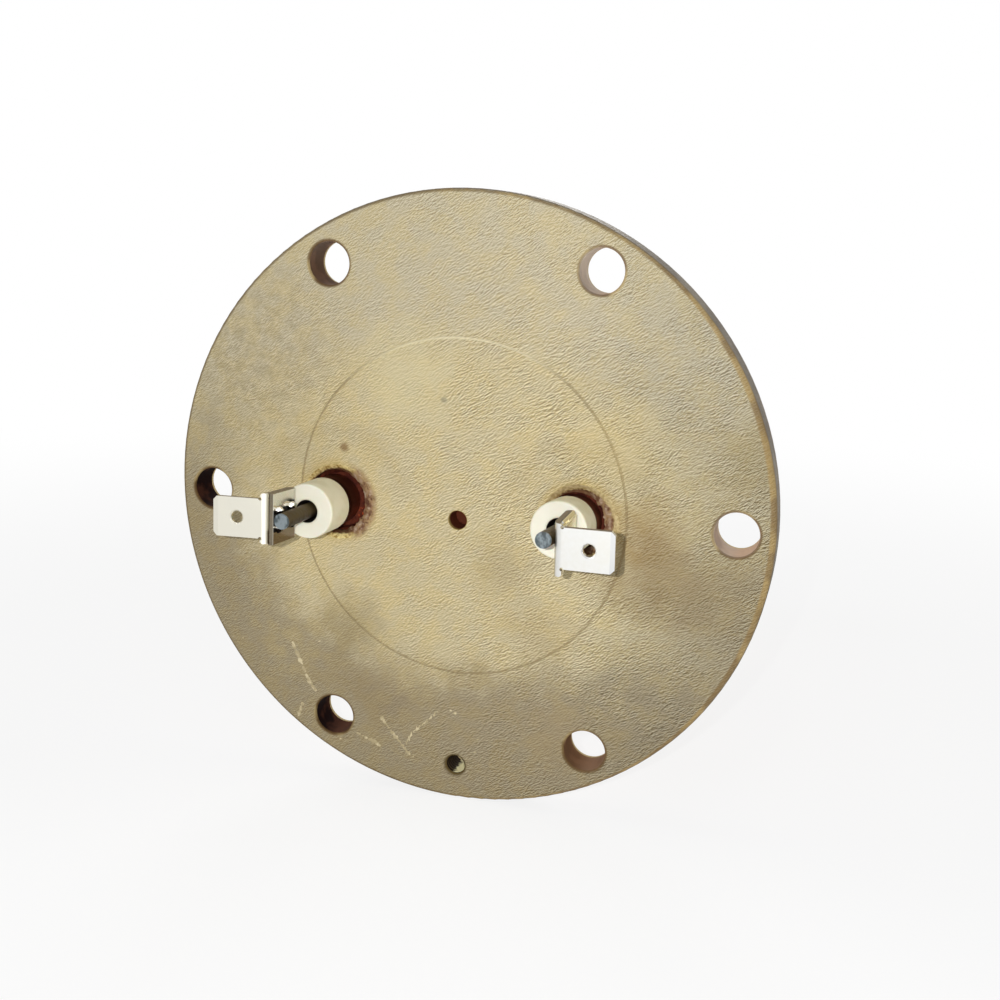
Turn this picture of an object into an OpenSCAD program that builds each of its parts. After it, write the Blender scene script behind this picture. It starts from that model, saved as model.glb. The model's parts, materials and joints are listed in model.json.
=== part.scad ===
// Immersion heating element of an espresso machine boiler.
// A round cast flange with six bolt holes carries a double-looped heating tube behind it
// and two spade terminals in ceramic bushes in front of it.
// The flange stands upright. Y runs along its axis, from the terminals at -Y to the loops
// at +Y, Z is up, and the origin is the centre of the face that seals on the boiler.

/* [Flange] */
// Distance from the bolt circle to the flange's edge
flange_margin = 6; // [4.5:0.25:12]
// Thickness of the flange
flange_t = 6; // [5:0.5:10]
// Rounding of the flange's front edge
flange_edge_r = 0.7; // [0.3:0.1:1.2]
// Chamfer of the flange's back edge
flange_back_chamfer = 0.4; // [0.2:0.1:0.8]
// Diameter of the bolt circle
bolt_circle_d = 90; // [80:0.5:110]
// Diameter of a bolt hole
bolt_hole_d = 7; // [5.5:0.1:7.5]
// Number of bolt holes
bolt_count = 6; // [4:1:6]
// Width of the broken edge round each bolt hole
bolt_hole_break = 0.25; // [0.1:0.05:0.4]
// Radius of the circular casting ridge on the front
ridge_r = 28; // [26.5:0.1:32]
// Width of the casting ridge
ridge_w = 0.5; // [0.3:0.1:0.8]
// Height of the casting ridge
ridge_h = 0.16; // [0.08:0.02:0.3]
// Width of the turned sealing land inside the bolt holes, on the back
land_w = 5.5; // [4:0.25:7]
// Depth of the plain cast middle of the back below the sealing land
land_h = 0.4; // [0.2:0.05:0.6]

/* [Small holes] */
// Drilled diameter of the tapped earth hole
earth_hole_d = 3.3; // [2.5:0.1:3.5]
// Width of the chamfer at the earth hole's mouth
earth_chamfer = 0.4; // [0.2:0.1:0.6]
// Diameter of the blind hole in the middle
centre_hole_d = 3.2; // [2.5:0.1:4]
// Depth of the blind hole in the middle
centre_hole_depth = 4; // [2:0.25:4.25]
// Height of the blind hole above the flange's centre
centre_hole_y = -1.7; // [-3:0.1:3]

/* [Terminal places] */
// Distance between the two terminal holes
terminal_spacing = 41.8; // [38:0.2:44]
// Sideways offset of the terminal pair from the flange's centre
terminal_shift_x = -1.6; // [-2:0.1:2]
// Upward offset of the terminal pair from the flange's centre
terminal_shift_y = -0.4; // [-2:0.1:2]
// Diameter of the recess round each tube end
recess_d = 11.3; // [10.8:0.1:12]
// Depth of the recess round each tube end
recess_depth = 3.2; // [2:0.1:3.6]
// Width of the sloped rim of the recess
recess_rim = 0.7; // [0.3:0.1:1]
// Sideways offset of the recess from the tube that it surrounds
recess_shift = 1; // [-1:0.1:1]

/* [Heating tube] */
// Outer diameter of the tube
tube_d = 8.5; // [8:0.1:9]
// Wall of the tube
tube_wall = 0.8; // [0.6:0.05:1]
// Height of the tube's open ends above the flange's front
tube_rise = 2; // [1:0.1:2.2]
// Length of the straight legs behind the flange
leg_l = 108; // [80:1:160]
// Radius of the bends at the far end, at the tube's centre line
end_bend_r = 10.5; // [9:0.25:14]
// Distance from the flange to the start of the wide middle bend
middle_bend_start = 36; // [30:1:50]

/* [Inside the tube] */
// Outer diameter of the resistance winding
winding_d = 3.4; // [3:0.1:3.5]
// Thickness of the resistance winding
winding_t = 0.45; // [0.4:0.05:0.6]
// Length of a cold pin behind the flange
cold_l = 24; // [15:1:30]
// Length of the pin's thinner end inside the winding
pin_nose_l = 5; // [3:0.5:8]
// Depth of the sealing plug below the tube's open end
seal_depth = 5; // [3:0.5:7]

/* [Terminals] */
// Diameter of a terminal pin
pin_d = 2.5; // [2:0.1:2.6]
// Step in the pin's radius where it leaves the tube
pin_step = 0.05; // [0.04:0.01:0.1]
// Lean of the left terminal from the flange's axis in degrees
left_lean = 1.9; // [0:0.1:3]
// Lean of the right terminal from the flange's axis in degrees
right_lean = 5.4; // [0:0.1:6]
// Outer diameter of a ceramic bush
bush_d = 9; // [8.6:0.1:9.6]
// Length of a ceramic bush
bush_l = 6.8; // [5:0.1:7]
// Bore of a ceramic bush
bush_bore_d = 3.7; // [3.5:0.1:4]
// Rounding of the bush's edges
bush_edge_r = 0.35; // [0.2:0.05:0.6]
// Height of the bush's back face above the tube's open end
bush_gap = 0.65; // [0.6:0.05:1]
// Upward play of the left bush on its pin
left_bush_shift = 0; // [-0.3:0.05:0.3]
// Upward play of the right bush on its pin
right_bush_shift = 0.25; // [-0.3:0.05:0.3]

/* [Spade tabs] */
// Thickness of the tab's sheet
tab_t = 0.8; // [0.5:0.1:1]
// Gap inside the hem, where the plate's two layers lie on each other
hem_gap = 0.1; // [0.06:0.02:0.2]
// Width of the blade
blade_w = 6.3; // [4.8:0.1:6.6]
// Length of the blade from the near face of the layer that it is bent from
blade_l = 9.15; // [8:0.05:11]
// Cut at the blade's free corners
blade_corner = 0.6; // [0.4:0.1:1.2]
// Length of the thinned lead-in at the blade's free end
lead_in_l = 0.7; // [0.4:0.1:1.2]
// Amount that the lead-in takes off each face at the free end
lead_in_t = 0.12; // [0.05:0.01:0.18]
// Diameter of the locking hole in the blade
lock_hole_d = 1.9; // [1.5:0.1:2.2]
// Distance from the locking hole to the blade's free end
lock_hole_back = 3.8; // [3:0.1:5]
// Width of the plate that is welded on the pin
plate_w = 8; // [7:0.1:9]
// Distance from the plate's back end to the front of the tab
plate_l = 8.1; // [7:0.1:9]
// Clearance between the bush and the plate's back end
plate_gap = 0.65; // [0.6:0.05:2]
// Cut at the corners of the plate's front
plate_corner = 0.3; // [0.1:0.05:0.5]
// Inner radius of the bend between plate and blade
tab_bend_r = 0.55; // [0.3:0.05:0.7]
// Gap between the pin and the plate that the welds bridge
weld_gap = 0.2; // [0.05:0.05:0.3]
// Radius of a weld nugget
weld_r = 0.65; // [0.5:0.05:0.7]
// Distance of the front welds behind the tab's front
front_weld_back = 1.3; // [1:0.1:2]
// Distance of the back welds behind the tab's front
back_weld_back = 5.5; // [4:0.1:6]

/* [Set of the hand-bent tabs] */
// Angle of the left blade above a right angle in degrees
left_blade_rise = 5.4; // [-3:0.1:15]
// Angle of the right blade above a right angle in degrees
right_blade_rise = 0.5; // [-3:0.1:15]
// Turn of the left tab against its pin in degrees
left_tab_turn = 1.8; // [-7:0.1:7]
// Turn of the right tab against its pin in degrees
right_tab_turn = -7; // [-7:0.1:7]
// Upward shift of the left tab on its pin
left_tab_shift = 0; // [-0.9:0.05:0.9]
// Upward shift of the right tab on its pin
right_tab_shift = -0.8; // [-0.9:0.05:0.9]
// Upward offset of the left blade on its plate
left_blade_shift = 0; // [-0.4:0.05:0.4]
// Upward offset of the right blade on its plate
right_blade_shift = 0.35; // [-0.4:0.05:0.4]

/* [Brazing and fits] */
// Thickness of the brazing ring on the floor of the recess
front_braze_t = 1; // [0.6:0.1:1.4]
// Leg of the brazing fillet behind the flange
back_braze_leg = 1.8; // [1:0.1:2.5]
// Thickness of the filler at the thin edges of its hollow
braze_lip = 0.2; // [0.1:0.05:0.4]
// Clearance between nested pieces, on the radius
fit = 0.02; // [0.01:0.005:0.03]
// Clearance of the tube in the flange, on the radius
tube_fit = 0.05; // [0.03:0.01:0.08]

/* [Hidden] */
$fn = 96;

// Sides of the pair of terminals
LEFT = -1;
RIGHT = 1;

// Small overshoot of a cutting shape past the face it cuts
over = 1;

flange_r = bolt_circle_d / 2 + flange_margin;
land_inner_r = (bolt_circle_d - bolt_hole_d) / 2 - land_w;
tube_r = tube_d / 2;
tube_bore_r = tube_r - tube_wall;
pin_r = pin_d / 2;
bush_r = bush_d / 2;
recess_r = recess_d / 2;
front_z = flange_t;
tube_top_z = front_z + tube_rise;

// Below each leg a second run comes back, and a wide bend joins the two
lower_run_drop = 2 * end_bend_r;
middle_bend_r = terminal_spacing / 2;

// The pin bends a little where it leaves the tube, and all that is in front leans with it
knee_z = tube_top_z - 0.8;
seal_bottom_z = tube_top_z - seal_depth;
bush_back = tube_top_z + bush_gap - knee_z;
pin_front_l = bush_back + bush_l + plate_gap + plate_l;
nose_r = winding_d / 2 - winding_t - fit;
winding_start_z = -cold_l + pin_nose_l;

bend_outer_r = tab_bend_r + tab_t;
hem_r = tab_t + hem_gap / 2;
layer_step = tab_t + hem_gap;
lock_hole_break = tab_t / 4;
relief_notch_r = tab_t / 3;
plate_x = pin_r + weld_gap;

// Tapped hole that takes the earth screw, below the middle on the bolt circle
earth_y = -bolt_circle_d / 2;

function terminal_x(side) = terminal_shift_x + side * terminal_spacing / 2;
function lean_of(side) = side == LEFT ? left_lean : right_lean;
function tab_turn_of(side) = side == LEFT ? left_tab_turn : right_tab_turn;
function tab_shift_of(side) = side == LEFT ? left_tab_shift : right_tab_shift;
function blade_rise_of(side) = side == LEFT ? left_blade_rise : right_blade_rise;
function bush_shift_of(side) = side == LEFT ? left_bush_shift : right_bush_shift;

// Offset of the blade in the tab's own frame, which is upside down on the left
function blade_y(side) = side == LEFT ? -left_blade_shift : right_blade_shift;

// The same hemmed tab is bent towards its hem on the left and away from it on the right, so
// the blade's layer is the outer one on the left and the one at the pin on the right
function blade_layer_x(side) = side == LEFT ? layer_step : 0;
function hem_layer_x(side) = side == LEFT ? 0 : layer_step;
function hem_layer_back(side) = side == LEFT ? hem_gap : bend_outer_r + hem_gap;

// Turns a shape that is drawn with the flange lying flat into the upright frame
module upright() {
    rotate([90, 0, 0]) children();
}

module at_terminal(side) {
    translate([terminal_x(side), terminal_shift_y, 0]) children();
}

// Frame of what leans with the pin, with its origin at the knee
module at_knee(side) {
    at_terminal(side) translate([0, 0, knee_z]) rotate([-lean_of(side), 0, 0]) children();
}

// Cylinder with both end edges rounded
module rounded_cylinder(r, height, edge_r) {
    translate([0, 0, edge_r]) cylinder(h = height - 2 * edge_r, r = r);
    cylinder(h = height, r = r - edge_r);
    for (z = [edge_r, height - edge_r])
        translate([0, 0, z]) rotate_extrude() translate([r - edge_r, 0]) circle(edge_r);
}

// Flange

module flange_body() {
    cylinder(h = flange_back_chamfer, r1 = flange_r - flange_back_chamfer, r2 = flange_r);
    translate([0, 0, flange_back_chamfer])
        cylinder(h = flange_t - flange_back_chamfer - flange_edge_r, r = flange_r);
    translate([0, 0, flange_back_chamfer])
        cylinder(h = flange_t - flange_back_chamfer, r = flange_r - flange_edge_r);
    translate([0, 0, flange_t - flange_edge_r])
        rotate_extrude() translate([flange_r - flange_edge_r, 0]) circle(flange_edge_r);
}

module casting_ridge() {
    translate([0, 0, flange_t]) rotate_extrude()
        translate([ridge_r, 0])
            polygon([[-ridge_w / 2, -ridge_h], [ridge_w / 2, -ridge_h],
                     [ridge_w / 2, 0], [ridge_w / 6, ridge_h],
                     [-ridge_w / 6, ridge_h], [-ridge_w / 2, 0]]);
}

// Cone that breaks the front edge of a round hole and runs on past the face
module mouth_chamfer(hole_r, width) {
    translate([0, 0, flange_t - width])
        cylinder(h = 2 * width, r1 = hole_r, r2 = hole_r + 2 * width);
}

module bolt_hole() {
    translate([0, 0, -over]) cylinder(h = flange_t + 2 * over, d = bolt_hole_d);
    mouth_chamfer(bolt_hole_d / 2, bolt_hole_break);
}

module bolt_holes() {
    for (i = [0 : bolt_count - 1])
        rotate(i * 360 / bolt_count) translate([bolt_circle_d / 2, 0, 0]) bolt_hole();
}

module earth_hole() {
    translate([0, earth_y, 0]) {
        translate([0, 0, -over]) cylinder(h = flange_t + 2 * over, d = earth_hole_d);
        mouth_chamfer(earth_hole_d / 2, earth_chamfer);
    }
}

// Shallow middle of the back, which leaves a flat land round the bolt holes
module back_recess() {
    translate([0, 0, -over]) cylinder(h = over + land_h, r = land_inner_r);
}

module centre_hole() {
    translate([0, centre_hole_y, flange_t - centre_hole_depth])
        cylinder(h = centre_hole_depth + over, d = centre_hole_d);
}

module tube_hole() {
    translate([0, 0, -over]) cylinder(h = flange_t + 2 * over, r = tube_r + tube_fit);
    translate([recess_shift, 0, 0]) {
        translate([0, 0, flange_t - recess_depth])
            cylinder(h = recess_depth + over, r = recess_r);
        mouth_chamfer(recess_r, recess_rim);
    }
}

module flange() {
    color([0.74, 0.69, 0.54]) upright() difference() {
        union() {
            flange_body();
            casting_ridge();
        }
        bolt_holes();
        earth_hole();
        centre_hole();
        back_recess();
        for (side = [LEFT, RIGHT]) at_terminal(side) tube_hole();
    }
}

// Heating tube

// Half turn of the tube in the XY plane, which joins two runs
module half_bend(r, bend_r) {
    rotate_extrude(angle = 180) translate([bend_r, 0]) circle(r);
}

// One continuous double loop of any thickness, up to a height above the sealing face
module double_loop(r, top_z) {
    for (side = [LEFT, RIGHT]) at_terminal(side) {
        translate([0, 0, -leg_l]) cylinder(h = leg_l + top_z, r = r);
        translate([0, -end_bend_r, -leg_l])
            rotate([0, 0, 90]) rotate([-90, 0, 0]) half_bend(r, end_bend_r);
        translate([0, -lower_run_drop, -leg_l])
            cylinder(h = leg_l - middle_bend_start, r = r);
    }
    translate([terminal_shift_x, terminal_shift_y - lower_run_drop, -middle_bend_start])
        rotate([90, 0, 0]) half_bend(r, middle_bend_r);
}

module heating_tube() {
    color([0.72, 0.45, 0.3]) upright() difference() {
        double_loop(tube_r, tube_top_z);
        double_loop(tube_bore_r, tube_top_z + over);
    }
}

// Inside the tube

// Winding drawn as the sleeve that its fine turns fill
module winding_sleeve(outer_r, inner_r, top_z) {
    difference() {
        double_loop(outer_r, top_z);
        double_loop(inner_r, top_z + over);
    }
}

module resistance_winding() {
    color([0.5, 0.5, 0.52]) upright()
        winding_sleeve(winding_d / 2, winding_d / 2 - winding_t, winding_start_z);
}

// Space that a pin takes in the pieces round it, grown by a clearance
module pin_space(side, gap) {
    at_terminal(side) {
        translate([0, 0, winding_start_z - gap])
            cylinder(h = knee_z - winding_start_z + 2 * gap, r = pin_r + pin_step + gap);
        translate([0, 0, -cold_l - gap])
            cylinder(h = pin_nose_l + gap + over / 2, r = nose_r);
    }
    at_knee(side) translate([0, 0, -2 * pin_step])
        cylinder(h = pin_front_l + 2 * pin_step + gap, r = pin_r + gap);
}

module magnesia_fill() {
    color([0.93, 0.92, 0.88]) upright() difference() {
        double_loop(tube_bore_r - fit, seal_bottom_z);
        winding_sleeve(winding_d / 2 + fit, winding_d / 2 - winding_t - fit,
                       winding_start_z + fit);
        for (side = [LEFT, RIGHT]) pin_space(side, fit);
    }
}

module pin(side) {
    color([0.5, 0.52, 0.53]) upright() pin_space(side, 0);
}

// Compound that closes the tube's mouth and beds the bush on it
module seal(side) {
    bead_r = tube_r - tube_wall / 2;
    color([0.36, 0.16, 0.1]) upright() difference() {
        at_terminal(side) {
            translate([0, 0, seal_bottom_z + fit])
                cylinder(h = seal_depth + bush_gap, r = tube_bore_r - fit);
            translate([0, 0, tube_top_z + fit]) cylinder(h = 2 * bush_gap, r = bead_r);
        }
        at_knee(side) translate([0, 0, bush_back - fit]) cylinder(h = bush_l, r = bush_d);
        pin_space(side, fit);
    }
}

// Terminals

module bush(side) {
    color([0.9, 0.88, 0.8]) upright() at_knee(side)
        translate([0, bush_shift_of(side), bush_back]) difference() {
            rounded_cylinder(bush_r, bush_l, bush_edge_r);
            translate([0, 0, -over]) cylinder(h = bush_l + 2 * over, d = bush_bore_d);
        }
}

// Wedge from the plate's end of the bend to the blade's end
module bend_sector(rise, reach) {
    blade_angle = 90 + rise;
    polygon([[0, 0], [-reach, 0], [-reach, reach],
             reach * [cos(blade_angle), sin(blade_angle)]]);
}

// Side view of the layer that goes on into the blade, with its near face on the Y axis
module blade_layer_profile(rise) {
    blade_end = blade_l - bend_outer_r;
    translate([0, hem_r - plate_l]) square([tab_t, plate_l - hem_r - bend_outer_r]);
    translate([bend_outer_r, -bend_outer_r]) {
        intersection() {
            difference() {
                circle(bend_outer_r);
                circle(tab_bend_r);
            }
            bend_sector(rise, 4 * bend_outer_r);
        }
        rotate(rise) translate([0, tab_bend_r])
            polygon([[0, 0], [blade_end - lead_in_l, 0], [blade_end + lead_in_l, 2 * lead_in_t],
                     [blade_end + lead_in_l, tab_t - 2 * lead_in_t],
                     [blade_end - lead_in_l, tab_t], [0, tab_t]]);
    }
}

// Side view of the hem, which joins the two layers at the plate's back end
module hem_profile() {
    translate([hem_r, hem_r - plate_l]) intersection() {
        difference() {
            circle(hem_r);
            circle(hem_gap / 2);
        }
        translate([-hem_r, -hem_r]) square([2 * hem_r, hem_r]);
    }
}

// Side view of the whole tab, with the plate's near face on the Y axis and its front at zero
module tab_profile(side) {
    translate([blade_layer_x(side), 0]) blade_layer_profile(blade_rise_of(side));
    translate([hem_layer_x(side), hem_r - plate_l])
        square([tab_t, plate_l - hem_r - hem_layer_back(side)]);
    hem_profile();
}

// Width of the tab's sheet seen from the front, wide at the plate and narrow at the blade
module tab_outline(side, reach) {
    plate_end = blade_layer_x(side) + bend_outer_r;
    half_plate = plate_w / 2;
    half_blade = blade_w / 2;
    polygon([[-over, -half_plate], [plate_end - plate_corner, -half_plate],
             [plate_end, plate_corner - half_plate], [plate_end, half_plate - plate_corner],
             [plate_end - plate_corner, half_plate], [-over, half_plate]]);
    translate([0, blade_y(side)])
        polygon([[0, -half_blade], [reach - blade_corner, -half_blade],
                 [reach, blade_corner - half_blade], [reach, half_blade - blade_corner],
                 [reach - blade_corner, half_blade], [0, half_blade]]);
}

// Tab of the right side, with the plate's near face at x = 0 and its front at z = 0
module flat_tab(side) {
    rise = blade_rise_of(side);
    bend_x = blade_layer_x(side) + bend_outer_r;
    flat_l = blade_l - bend_outer_r;
    reach = bend_x + flat_l * cos(rise);
    difference() {
        intersection() {
            translate([0, plate_w, 0]) rotate([90, 0, 0])
                linear_extrude(2 * plate_w) tab_profile(side);
            translate([0, 0, -plate_l - over])
                linear_extrude(plate_l + blade_l) tab_outline(side, reach);
        }
        translate([bend_x, blade_y(side), -bend_outer_r]) rotate([0, -rise, 0])
            translate([flat_l - lock_hole_back, 0, 0]) {
                cylinder(h = 2 * bend_outer_r, d = lock_hole_d);
                translate([0, 0, bend_outer_r - lock_hole_break])
                    cylinder(h = 2 * lock_hole_break, d1 = lock_hole_d,
                             d2 = lock_hole_d + 4 * lock_hole_break);
            }
        for (y = [-1, 1])
            translate([bend_x, blade_y(side) + y * blade_w / 2, -plate_l / 2])
                cylinder(h = plate_l, r = relief_notch_r);
    }
}

// Nuggets along both sides of the pin. The right tab holds by the ones near its back alone
module weld_nuggets(side) {
    for (back = side == LEFT ? [front_weld_back, back_weld_back] : [back_weld_back])
        for (y = [-1, 1])
            translate([plate_x - weld_r / 2, y * (pin_r + weld_r / 4), pin_front_l - back])
                sphere(weld_r);
}

module tab(side) {
    color([0.86, 0.85, 0.82]) upright() difference() {
        at_knee(side) rotate([0, 0, side == LEFT ? 180 : 0]) {
            translate([plate_x, side * tab_shift_of(side), pin_front_l - plate_l / 2])
                rotate([-side * tab_turn_of(side), 0, 0])
                    translate([0, 0, plate_l / 2]) flat_tab(side);
            weld_nuggets(side);
        }
        pin_space(side, fit);
    }
}

// Brazing

// Filler on the floor of the recess, hollowed between the recess's wall and the tube
module front_braze(side) {
    outer_r = recess_r - fit;
    floor_z = flange_t - recess_depth + fit;
    color([0.35, 0.15, 0.1]) upright() at_terminal(side) translate([0, 0, floor_z])
        difference() {
            translate([recess_shift, 0, 0]) rotate_extrude() difference() {
                square([outer_r, front_braze_t]);
                translate([outer_r, front_braze_t + braze_lip]) circle(front_braze_t);
            }
            translate([0, 0, -over])
                cylinder(h = front_braze_t + 2 * over, r = tube_r + fit);
        }
}

// Fillet of filler round the tube behind the flange
module back_braze(side) {
    inner_r = tube_r + fit;
    color([0.75, 0.62, 0.35]) upright() at_terminal(side) translate([0, 0, land_h - fit])
        rotate_extrude() difference() {
            translate([inner_r, -back_braze_leg]) square(back_braze_leg);
            translate((back_braze_leg + braze_lip) * [1, -1] + [inner_r, 0])
                circle(back_braze_leg);
        }
}

flange();
heating_tube();
magnesia_fill();
resistance_winding();
pin(LEFT);  // pin_left
pin(RIGHT);  // pin_right
seal(LEFT);  // seal_left
seal(RIGHT);  // seal_right
bush(LEFT);  // bush_left
bush(RIGHT);  // bush_right
tab(LEFT);  // tab_left
tab(RIGHT);  // tab_right
front_braze(LEFT);  // front_braze_left
front_braze(RIGHT);  // front_braze_right
back_braze(LEFT);  // back_braze_left
back_braze(RIGHT);  // back_braze_right
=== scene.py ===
import json
import math
import random

import bmesh
import bpy
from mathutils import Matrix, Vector, noise

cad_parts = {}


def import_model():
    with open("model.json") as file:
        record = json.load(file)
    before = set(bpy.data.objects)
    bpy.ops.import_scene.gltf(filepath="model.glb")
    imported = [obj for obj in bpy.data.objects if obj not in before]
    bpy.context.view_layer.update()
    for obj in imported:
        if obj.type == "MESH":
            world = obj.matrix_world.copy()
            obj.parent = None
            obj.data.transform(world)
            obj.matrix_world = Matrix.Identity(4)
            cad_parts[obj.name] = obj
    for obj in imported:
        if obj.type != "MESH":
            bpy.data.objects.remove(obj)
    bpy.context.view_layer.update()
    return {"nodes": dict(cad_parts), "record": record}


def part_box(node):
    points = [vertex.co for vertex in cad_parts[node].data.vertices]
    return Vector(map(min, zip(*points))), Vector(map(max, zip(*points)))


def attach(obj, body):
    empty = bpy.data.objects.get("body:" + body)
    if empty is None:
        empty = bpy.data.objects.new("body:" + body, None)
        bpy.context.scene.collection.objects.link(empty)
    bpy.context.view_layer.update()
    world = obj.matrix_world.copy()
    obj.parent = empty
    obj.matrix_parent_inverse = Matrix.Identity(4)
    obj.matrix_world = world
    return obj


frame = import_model()

# Immersion heating element of an espresso machine boiler. The flange stands upright, the
# terminals point to -Y and the double loop of the tube to +Y. Lengths are in millimetres,
# and MM turns them into the metres of the scene.
MM = 0.001
rng = random.Random(7)


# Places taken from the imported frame, in millimetres

def box_mm(node):
    low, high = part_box(node)
    return Vector(low) / MM, Vector(high) / MM


def mount(name):
    return next(m for m in frame["record"]["mounts"] if m["name"] == name)


flange_low, flange_high = box_mm("flange")
FLANGE_R = (flange_high.x - flange_low.x) / 2
RIDGE_H = 0.16
FRONT_Y = flange_low.y + RIDGE_H
BOLT_R = mount("bolt_circle")["dims"]["pcd_mm"] / 2
BOLT_HOLE_R = mount("bolt_circle")["dims"]["hole_r_mm"]
BOLT_COUNT = mount("bolt_circle")["dims"]["count"]
EARTH_Z = mount("earth_hole")["pos_m"][2] / MM
EARTH_R = mount("earth_hole")["dims"]["r_mm"]
BLIND_Z = -1.7
BLIND_R = 1.6
LAND_R = 36.0
SIDES = ("left", "right")
PIN_LEAN = {"left": 1.9, "right": 5.4}
PIN_R = 1.25
# Share of crust on the front round each recess, and where it ends on the lip past the mouth
CRUST_SPREAD = {"left": 0.8, "right": 0.2}
CRUST_END = {"left": 1.0, "right": -0.35}


def terminal_centre(side):
    low, high = box_mm("front_braze_" + side)
    return (low + high) / 2


def recess_radius(side):
    low, high = box_mm("front_braze_" + side)
    return (high.x - low.x) / 2


def pin_tip(side):
    """Middle of the free end face of a pin."""
    low, high = box_mm("pin_" + side)
    axis = pin_axis(side)
    return Vector(((low.x + high.x) / 2, low.y - PIN_R * axis.z, high.z - PIN_R * axis.y))


def pin_axis(side):
    """Direction of a leaning pin, from its free end into the flange."""
    lean = math.radians(PIN_LEAN[side])
    return Vector((0, math.cos(lean), -math.sin(lean)))


# Small helpers for node trees

def srgb(red, green, blue):
    def linear(value):
        value = value / 255
        return value / 12.92 if value <= 0.04045 else ((value + 0.055) / 1.055) ** 2.4
    return (linear(red), linear(green), linear(blue), 1.0)


class Graph:
    """Builds the node tree of one material."""

    def __init__(self, name):
        self.material = bpy.data.materials.new(name)
        self.material.use_nodes = True
        self.tree = self.material.node_tree
        self.shader = self.tree.nodes["Principled BSDF"]
        texture_place = self.add("ShaderNodeTexCoord")
        self.place = texture_place.outputs["Object"]
        self.facing = texture_place.outputs["Normal"]

    def add(self, kind, **settings):
        node = self.tree.nodes.new(kind)
        for key, value in settings.items():
            setattr(node, key, value)
        return node

    def feed(self, socket, value):
        if hasattr(value, "is_linked"):
            self.tree.links.new(value, socket)
        else:
            socket.default_value = value

    def math(self, operation, *values, clamp=False):
        node = self.add("ShaderNodeMath", operation=operation, use_clamp=clamp)
        for socket, value in zip(node.inputs, values):
            self.feed(socket, value)
        return node.outputs[0]

    def vector(self, operation, *values):
        node = self.add("ShaderNodeVectorMath", operation=operation)
        for socket, value in zip(node.inputs, values):
            self.feed(socket, value)
        return node.outputs["Value" if operation in ("LENGTH", "DOT_PRODUCT") else "Vector"]

    def split(self, vector):
        node = self.add("ShaderNodeSeparateXYZ")
        self.feed(node.inputs[0], vector)
        return node.outputs

    def join(self, x, y, z):
        node = self.add("ShaderNodeCombineXYZ")
        for socket, value in zip(node.inputs, (x, y, z)):
            self.feed(socket, value)
        return node.outputs[0]

    def step(self, value, low, high, to_low=0.0, to_high=1.0):
        node = self.add("ShaderNodeMapRange", interpolation_type="SMOOTHSTEP")
        for key, item in zip(range(5), (value, low, high, to_low, to_high)):
            self.feed(node.inputs[key], item)
        return node.outputs[0]

    def noise(self, place, scale, detail=2.0, roughness=0.5, distortion=0.0):
        node = self.add("ShaderNodeTexNoise")
        self.feed(node.inputs["Vector"], place)
        self.feed(node.inputs["Scale"], scale)
        self.feed(node.inputs["Detail"], detail)
        self.feed(node.inputs["Roughness"], roughness)
        self.feed(node.inputs["Distortion"], distortion)
        return node.outputs[0]

    def mix(self, share, first, second, blend="MIX"):
        node = self.add("ShaderNodeMix", data_type="RGBA", blend_type=blend)
        self.feed(node.inputs[0], share)
        self.feed(node.inputs[6], first)
        self.feed(node.inputs[7], second)
        return node.outputs[2]

    def millimetres(self):
        return self.vector("MULTIPLY", self.place, (1 / MM, 1 / MM, 1 / MM))

    def bump(self, height, depth_mm, strength=1.0, below=None):
        node = self.add("ShaderNodeBump")
        node.inputs["Strength"].default_value = strength
        node.inputs["Distance"].default_value = depth_mm * MM
        self.feed(node.inputs["Height"], height)
        if below is not None:
            self.feed(node.inputs["Normal"], below)
        return node.outputs[0]

    def finish(self, colour, roughness, normal=None, metallic=0.0, **fixed):
        self.feed(self.shader.inputs["Base Color"], colour)
        self.feed(self.shader.inputs["Roughness"], roughness)
        self.feed(self.shader.inputs["Metallic"], metallic)
        if normal is not None:
            self.feed(self.shader.inputs["Normal"], normal)
        for key, value in fixed.items():
            self.shader.inputs[key.replace("_", " ")].default_value = value
        return self.material


# Materials

def spot(graph, place, centre, inner, outer):
    """One inside a round place of the front face and zero outside it."""
    distance = graph.vector("LENGTH", graph.vector("SUBTRACT", place, centre))
    return graph.step(distance, inner, outer, 1.0, 0.0)


def ripple_field(graph, place, warp):
    """Uneven field of short oblique dashes, like the grain of leather."""
    tilt = math.radians(31)
    length, width = 0.72, 0.215
    x, y, z = graph.split(place)
    along = graph.math("ADD", graph.math("MULTIPLY", x, math.cos(tilt) / length),
                       graph.math("MULTIPLY", z, math.sin(tilt) / length))
    across = graph.math("SUBTRACT", graph.math("MULTIPLY", z, math.cos(tilt) / width),
                        graph.math("MULTIPLY", x, math.sin(tilt) / width))
    bent = graph.math("ADD", across, graph.math("MULTIPLY", warp, 1.3))
    return graph.noise(graph.join(along, graph.math("MULTIPLY", y, 0.8), bent),
                       1.0, 2.0, 0.55, 0.1)


def bolt_hole_distance(graph, place):
    """Distance from the axis of the nearest bolt hole, found by folding the circle of holes."""
    x, _, z = graph.split(place)
    turn = 2 * math.pi / BOLT_COUNT
    angle = graph.math("ARCTAN2", z, x)
    folded = graph.math("PINGPONG", angle, turn / 2)
    radius = graph.vector("LENGTH", graph.join(x, 0.0, z))
    near_x = graph.math("SUBTRACT", graph.math("MULTIPLY", radius, graph.math("COSINE", folded)), BOLT_R)
    near_z = graph.math("MULTIPLY", radius, graph.math("SINE", folded))
    return graph.vector("LENGTH", graph.join(near_x, 0.0, near_z))


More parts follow.
